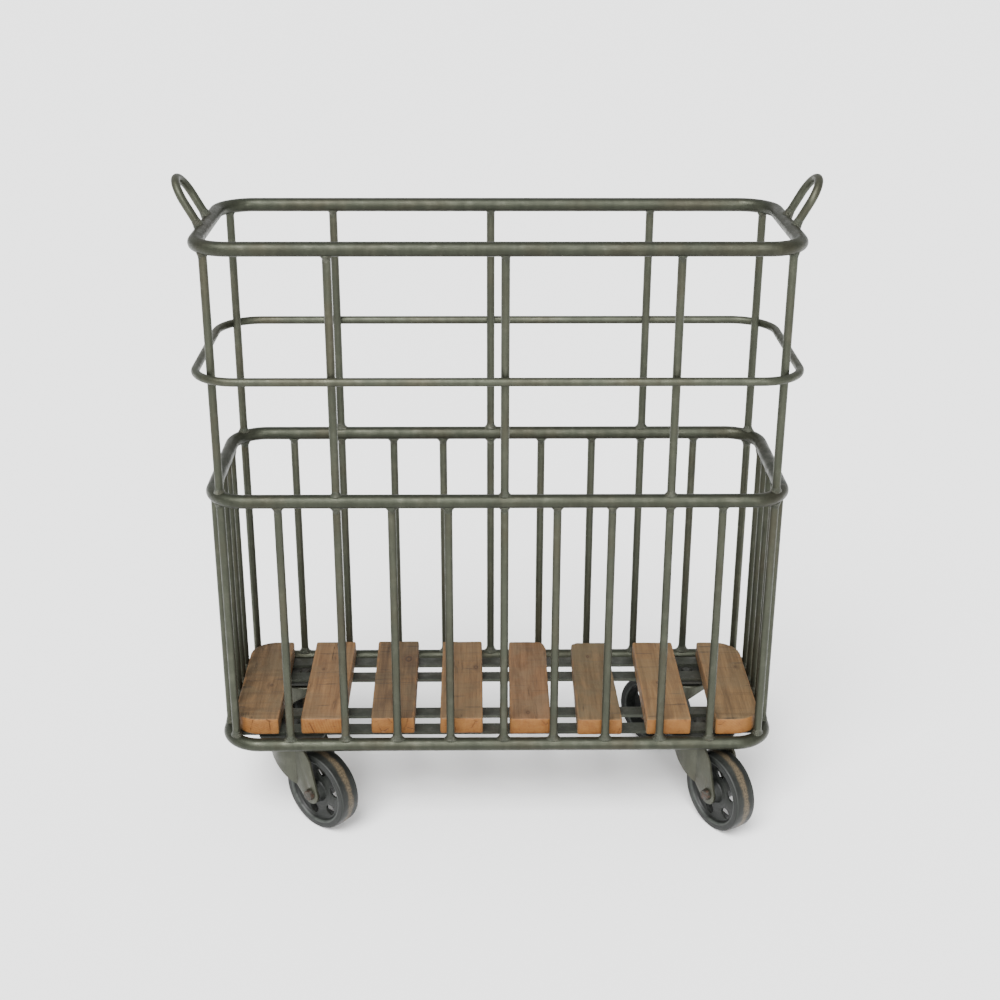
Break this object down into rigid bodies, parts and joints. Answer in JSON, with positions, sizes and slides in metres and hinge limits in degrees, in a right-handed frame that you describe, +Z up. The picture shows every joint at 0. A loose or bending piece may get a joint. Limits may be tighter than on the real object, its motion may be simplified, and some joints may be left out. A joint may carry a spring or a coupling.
{
  "type": "firewood log rack",
  "caption": "Open steel-bar basket for firewood, with round-cornered rims, upright bars, end grab loops, a slatted wooden floor and swivel caster wheels.",
  "frame": {"origin": "on the ground, under the middle of the rack", "axes": "+X along the rack's length, +Y to its back, +Z up; the open front is at -Y"},
  "size_m": [0.9056, 0.3798, 0.9845],
  "materials": {
    "rim_steel": "dark gunmetal patina, satin",
    "rod_steel": "dark gunmetal patina, satin",
    "rail_steel": "dark gunmetal patina, satin",
    "screw_zinc": "dull zinc plate",
    "ball_steel": "polished ball steel",
    "plate_steel": "dark pressed steel",
    "fork_steel": "grey-olive pressed steel, satin",
    "axle_steel": "tarnished bolt, slightly rusty",
    "wheel_black": "black, worn brown on the tread",
    "bush": "plain steel sleeve",
    "slat_wood_1": "sawn board, worn and oiled, bright end grain",
    "slat_wood_2": "sawn board, worn and oiled, bright end grain",
    "slat_wood_3": "sawn board, worn and oiled, bright end grain",
    "slat_wood_4": "sawn board, worn and oiled, bright end grain",
    "slat_wood_5": "sawn board, worn and oiled, bright end grain",
    "slat_wood_6": "sawn board, worn and oiled, bright end grain",
    "slat_wood_7": "sawn board, worn and oiled, bright end grain",
    "slat_wood_8": "sawn board, worn and oiled, bright end grain"
  },
  "bodies": {
    "rack": {"bottom_rim": "rim_steel", "middle_rim": "rim_steel", "top_rim": "rim_steel", "middle_hoop": "rod_steel", "front_bars": "rod_steel", "back_bars": "rod_steel", "left_bars": "rod_steel", "right_bars": "rod_steel", "front_left_post": "rod_steel", "front_right_post": "rod_steel", "back_left_post": "rod_steel", "back_right_post": "rod_steel", "front_posts": "rod_steel", "back_posts": "rod_steel", "handle_left": "rod_steel", "handle_right": "rod_steel", "rail_front_outer": "rail_steel", "rail_front_inner": "rail_steel", "rail_back_inner": "rail_steel", "rail_back_outer": "rail_steel", "slat_1": "slat_wood_1", "slat_2": "slat_wood_2", "slat_3": "slat_wood_3", "slat_4": "slat_wood_4", "slat_5": "slat_wood_5", "slat_6": "slat_wood_6", "slat_7": "slat_wood_7", "slat_8": "slat_wood_8", "slat_screws": "screw_zinc", "plate_bolts": "screw_zinc", "swivel_balls": "ball_steel", "front_left_plate": "plate_steel", "front_left_kingpin": "plate_steel", "front_right_plate": "plate_steel", "front_right_kingpin": "plate_steel", "rear_left_plate": "plate_steel", "rear_left_kingpin": "plate_steel", "rear_right_plate": "plate_steel", "rear_right_kingpin": "plate_steel"},
    "front_left_swivel": {"front_left_fork": "fork_steel", "front_left_axle_bolt": "axle_steel", "front_left_axle_nut": "axle_steel"},
    "front_left_roller": {"front_left_wheel": "wheel_black", "front_left_wheel_bush": "bush"},
    "front_right_swivel": {"front_right_fork": "fork_steel", "front_right_axle_bolt": "axle_steel", "front_right_axle_nut": "axle_steel"},
    "front_right_roller": {"front_right_wheel": "wheel_black", "front_right_wheel_bush": "bush"},
    "rear_left_swivel": {"rear_left_fork": "fork_steel", "rear_left_axle_bolt": "axle_steel", "rear_left_axle_nut": "axle_steel"},
    "rear_left_roller": {"rear_left_wheel": "wheel_black", "rear_left_wheel_bush": "bush"},
    "rear_right_swivel": {"rear_right_fork": "fork_steel", "rear_right_axle_bolt": "axle_steel", "rear_right_axle_nut": "axle_steel"},
    "rear_right_roller": {"rear_right_wheel": "wheel_black", "rear_right_wheel_bush": "bush"}
  },
  "joints": [
    {"name": "front_left_swivel_turn", "type": "hinge", "parent": "rack", "child": "front_left_swivel", "pos_m": [-0.3135, -0.081, 0.15], "axis": [0, 0, 1], "continuous": true},
    {"name": "front_left_wheel_spin", "type": "hinge", "parent": "front_left_swivel", "child": "front_left_roller", "pos_m": [-0.27029, -0.11817, 0.0625], "axis": [0.6521, 0.7581, 0], "continuous": true},
    {"name": "front_right_swivel_turn", "type": "hinge", "parent": "rack", "child": "front_right_swivel", "pos_m": [0.3135, -0.081, 0.15], "axis": [0, 0, 1], "continuous": true},
    {"name": "front_right_wheel_spin", "type": "hinge", "parent": "front_right_swivel", "child": "front_right_roller", "pos_m": [0.34362, -0.12939, 0.0625], "axis": [0.849, 0.5284, 0], "continuous": true},
    {"name": "rear_left_swivel_turn", "type": "hinge", "parent": "rack", "child": "rear_left_swivel", "pos_m": [-0.3135, 0.081, 0.15], "axis": [0, 0, 1], "continuous": true},
    {"name": "rear_left_wheel_spin", "type": "hinge", "parent": "rear_left_swivel", "child": "rear_left_roller", "pos_m": [-0.34362, 0.12939, 0.0625], "axis": [-0.849, -0.5284, 0], "continuous": true},
    {"name": "rear_right_swivel_turn", "type": "hinge", "parent": "rack", "child": "rear_right_swivel", "pos_m": [0.3135, 0.081, 0.15], "axis": [0, 0, 1], "continuous": true},
    {"name": "rear_right_wheel_spin", "type": "hinge", "parent": "rear_right_swivel", "child": "rear_right_roller", "pos_m": [0.27029, 0.11817, 0.0625], "axis": [-0.6521, -0.7581, 0], "continuous": true}
  ]
}
